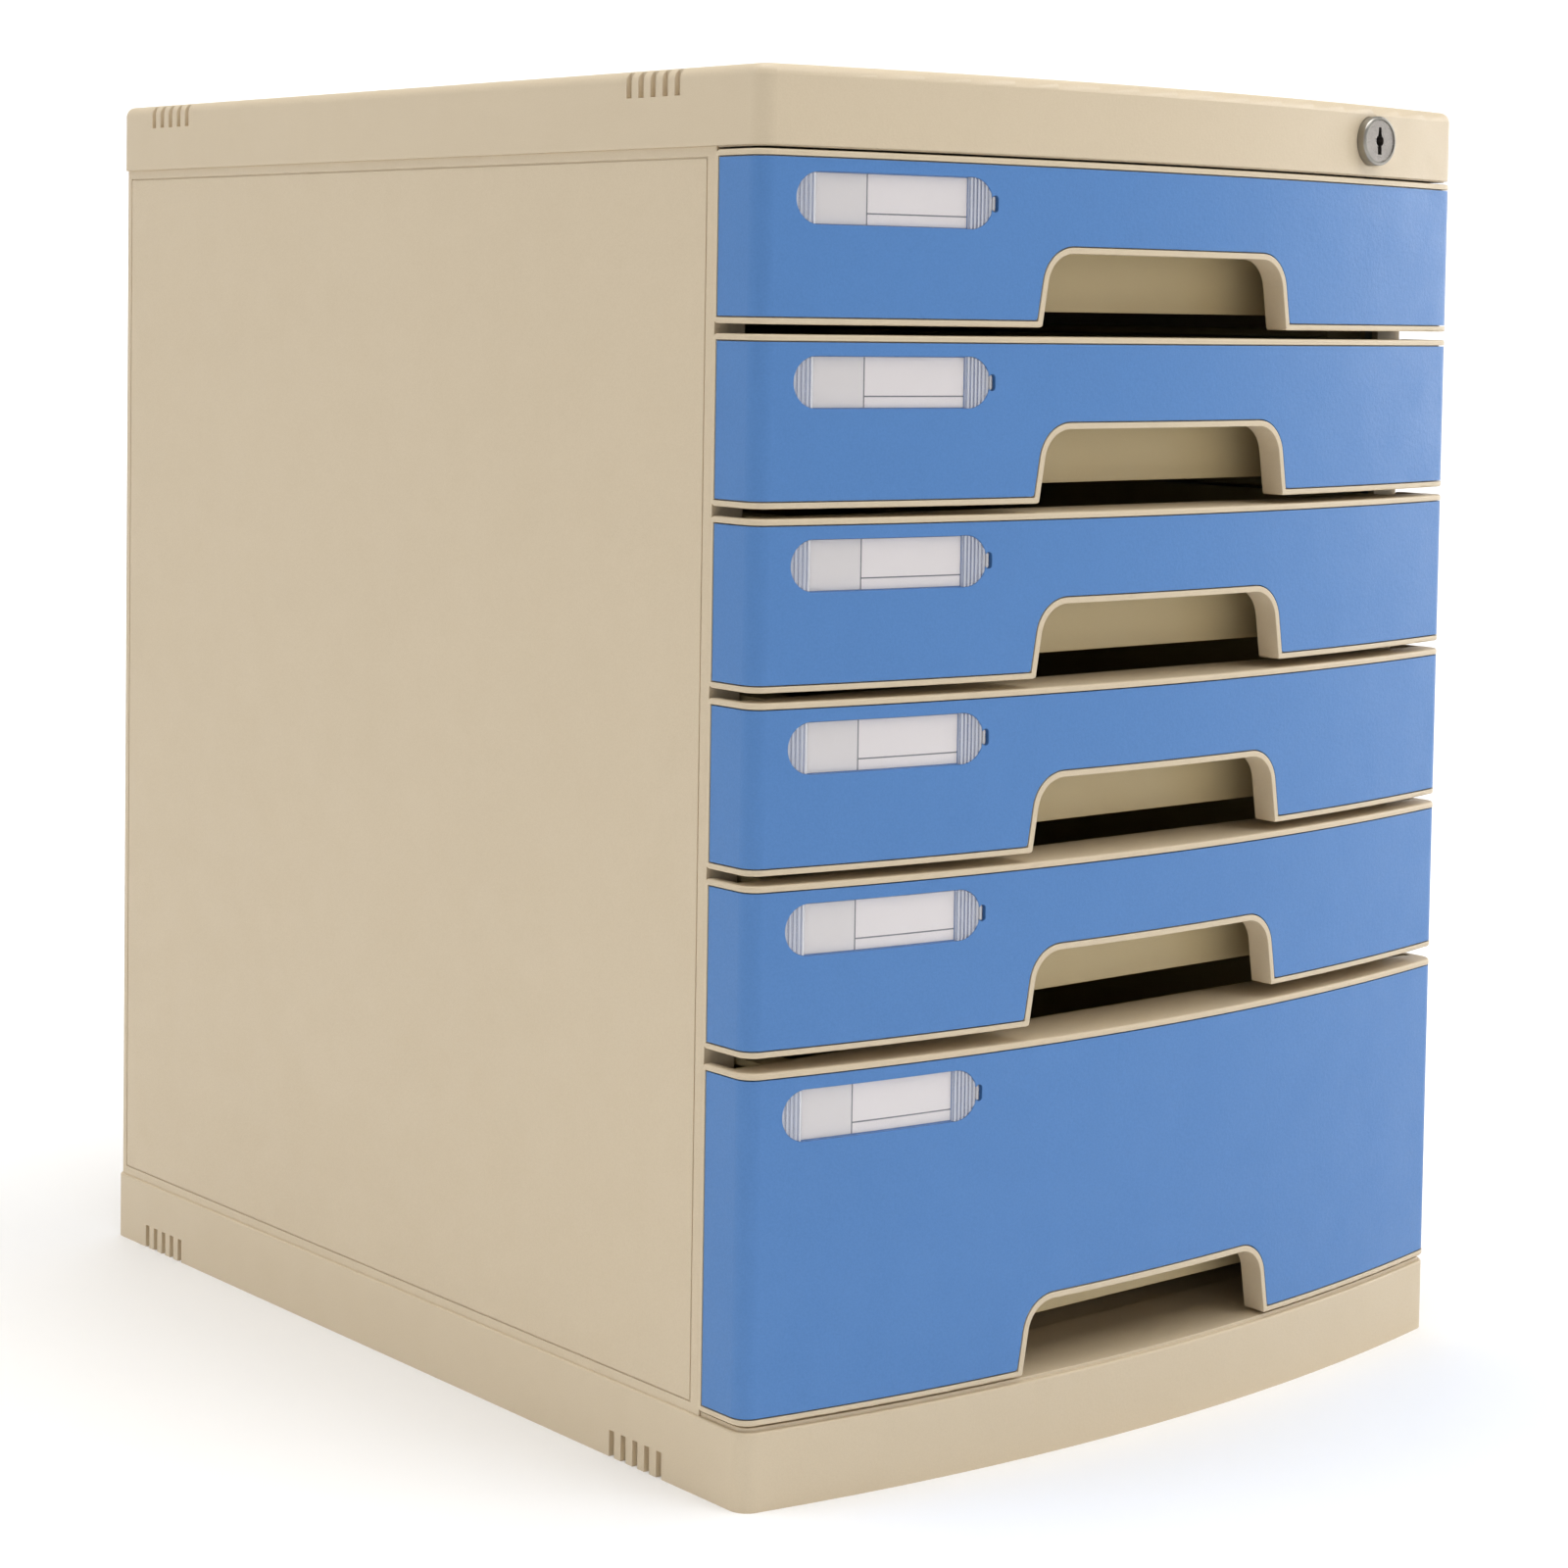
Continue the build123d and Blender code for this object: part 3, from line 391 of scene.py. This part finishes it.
def metal(name):
    """Plated metal with fine scratches and a slightly uneven gloss."""
    colour, roughness, scratches = METALS[name]
    n = Nodes(name)
    scratch = n.noise(scratches, detail=5.0, rough=0.65, stretch=SCRATCH_STRETCH)
    tarnish = n.noise(TARNISH_SCALE, detail=3.0)
    dull = tuple(part * TARNISH_DULL for part in colour)
    base = n.mix(n.ramp(tarnish, NOISE_WIDE, (0.0, TARNISH_COVER)), colour, dull)
    rough = n.math("ADD", n.ramp(scratch, NOISE_WIDE, SCRATCH_GLOSS), roughness)
    normal = n.bump(scratch, METAL_RELIEF, METAL_STRENGTH, n.bevel(METAL_EDGE))
    return n.surface(n.principled(Base_Color=base, Metallic=1.0, Roughness=rough, Normal=normal))


def stage_floor_material():
    n = Nodes("studio_floor")
    return n.surface(n.principled(Base_Color=FLOOR, Roughness=FLOOR_ROUGHNESS))


def finish_with(material, names):
    """Gives CAD nodes a material, in place of the plain one that they were packed with."""
    for name in names:
        for slot in nodes[name].material_slots:
            slot.material = material


def on_each_drawer(piece):
    return [f"drawer_{number}_{piece}" for number in DRAWERS]


def dress_cabinet():
    finish_with(moulded_plastic("beige_panel"), ["left_side_panel", "right_side_panel", "back_panel"])
    finish_with(moulded_plastic("beige_cover"), ["top_cover", "base"] + on_each_drawer("front"))
    finish_with(moulded_plastic("beige_tray"), on_each_drawer("tray") + [
        "left_runners", "right_runners", "base_stiffeners", "lock_bar_guides"])
    finish_with(moulded_plastic("blue_face"), on_each_drawer("face"))
    finish_with(clear_window(), on_each_drawer("label_window"))
    finish_with(label_card(), on_each_drawer("label_card"))
    finish_with(metal("satin_nickel"), ["lock_plug"])
    finish_with(metal("dark_nickel"), ["lock_barrel", "lock_nut"])
    finish_with(metal("zinc_steel"), ["lock_cam", "lock_cam_screw", "lock_bar",
                                      "cover_screws", "base_screws"])


def lay_floor():
    """A round floor level with the cabinet's foot, which curves up into a wall all the way round."""
    profile = [(0.0, 0.0)]
    for step in range(CURVE_STEPS + 1):
        turn = pi / 2 * step / CURVE_STEPS
        profile.append((FLOOR_FLAT + FLOOR_CURVE * sin(turn), FLOOR_CURVE * (1 - cos(turn))))
    profile.append((FLOOR_FLAT + FLOOR_CURVE, WALL_TOP))
    corners, faces = [], []
    for radius, height in profile:
        for side in range(FLOOR_SIDES):
            angle = 2 * pi * side / FLOOR_SIDES
            corners.append((radius * cos(angle), radius * sin(angle), cad_box[0].z + height))
    for ring in range(len(profile) - 1):
        low, high = ring * FLOOR_SIDES, (ring + 1) * FLOOR_SIDES
        for side in range(FLOOR_SIDES):
            after = (side + 1) % FLOOR_SIDES
            faces.append((low + side, high + side, high + after, low + after))
    mesh = bpy.data.meshes.new("studio_floor")
    mesh.from_pydata(corners, [], faces)
    mesh.polygons.foreach_set("use_smooth", [True] * len(faces))
    mesh.materials.append(stage_floor_material())
    floor = bpy.data.objects.new("studio_floor", mesh)
    bpy.context.scene.collection.objects.link(floor)


def soft_light(name, place, target, width, height, watts):
    data = bpy.data.lights.new(name, "AREA")
    data.shape = "RECTANGLE"
    data.size, data.size_y = width, height
    data.energy = watts
    light = bpy.data.objects.new(name, data)
    light.location = place
    light.rotation_mode = "QUATERNION"
    light.rotation_quaternion = (Vector(target) - Vector(place)).to_track_quat("-Z", "Y")
    bpy.context.scene.collection.objects.link(light)


def light_scene():
    """Soft lights aimed at the cabinet, one at the wall behind it, and an even white world."""
    middle = (cad_box[0] + cad_box[1]) / 2
    for name, place, width, height, watts in SOFT_LIGHTS:
        target = BACKDROP_TARGET if name == "backdrop_light" else middle
        soft_light(name, place, target, width, height, watts)
    world = bpy.data.worlds.new("studio")
    world.use_nodes = True
    background = world.node_tree.nodes["Background"]
    background.inputs["Color"].default_value = (1.0, 1.0, 1.0, 1.0)
    background.inputs["Strength"].default_value = WORLD_LIGHT
    bpy.context.scene.world = world
    bpy.context.scene.view_settings.view_transform = "Standard"


def set_camera():
    data = bpy.data.cameras.new("camera")
    data.lens = CAMERA_LENS
    data.shift_x, data.shift_y = CAMERA_SHIFT
    camera = bpy.data.objects.new("camera", data)
    forward = Vector((sin(CAMERA_HEADING) * cos(CAMERA_DROP), cos(CAMERA_HEADING) * cos(CAMERA_DROP),
                      -sin(CAMERA_DROP)))
    right = Vector((cos(CAMERA_HEADING), -sin(CAMERA_HEADING), 0))
    up = right.cross(forward)
    turned_right = right * cos(CAMERA_ROLL) + up * sin(CAMERA_ROLL)
    turned_up = up * cos(CAMERA_ROLL) - right * sin(CAMERA_ROLL)
    axes = Matrix((turned_right, turned_up, -forward)).transposed()
    camera.matrix_world = Matrix.Translation(CAMERA_PLACE) @ axes.to_4x4()
    bpy.context.scene.collection.objects.link(camera)
    bpy.context.scene.camera = camera


dress_cabinet()
lay_floor()
light_scene()
set_camera()
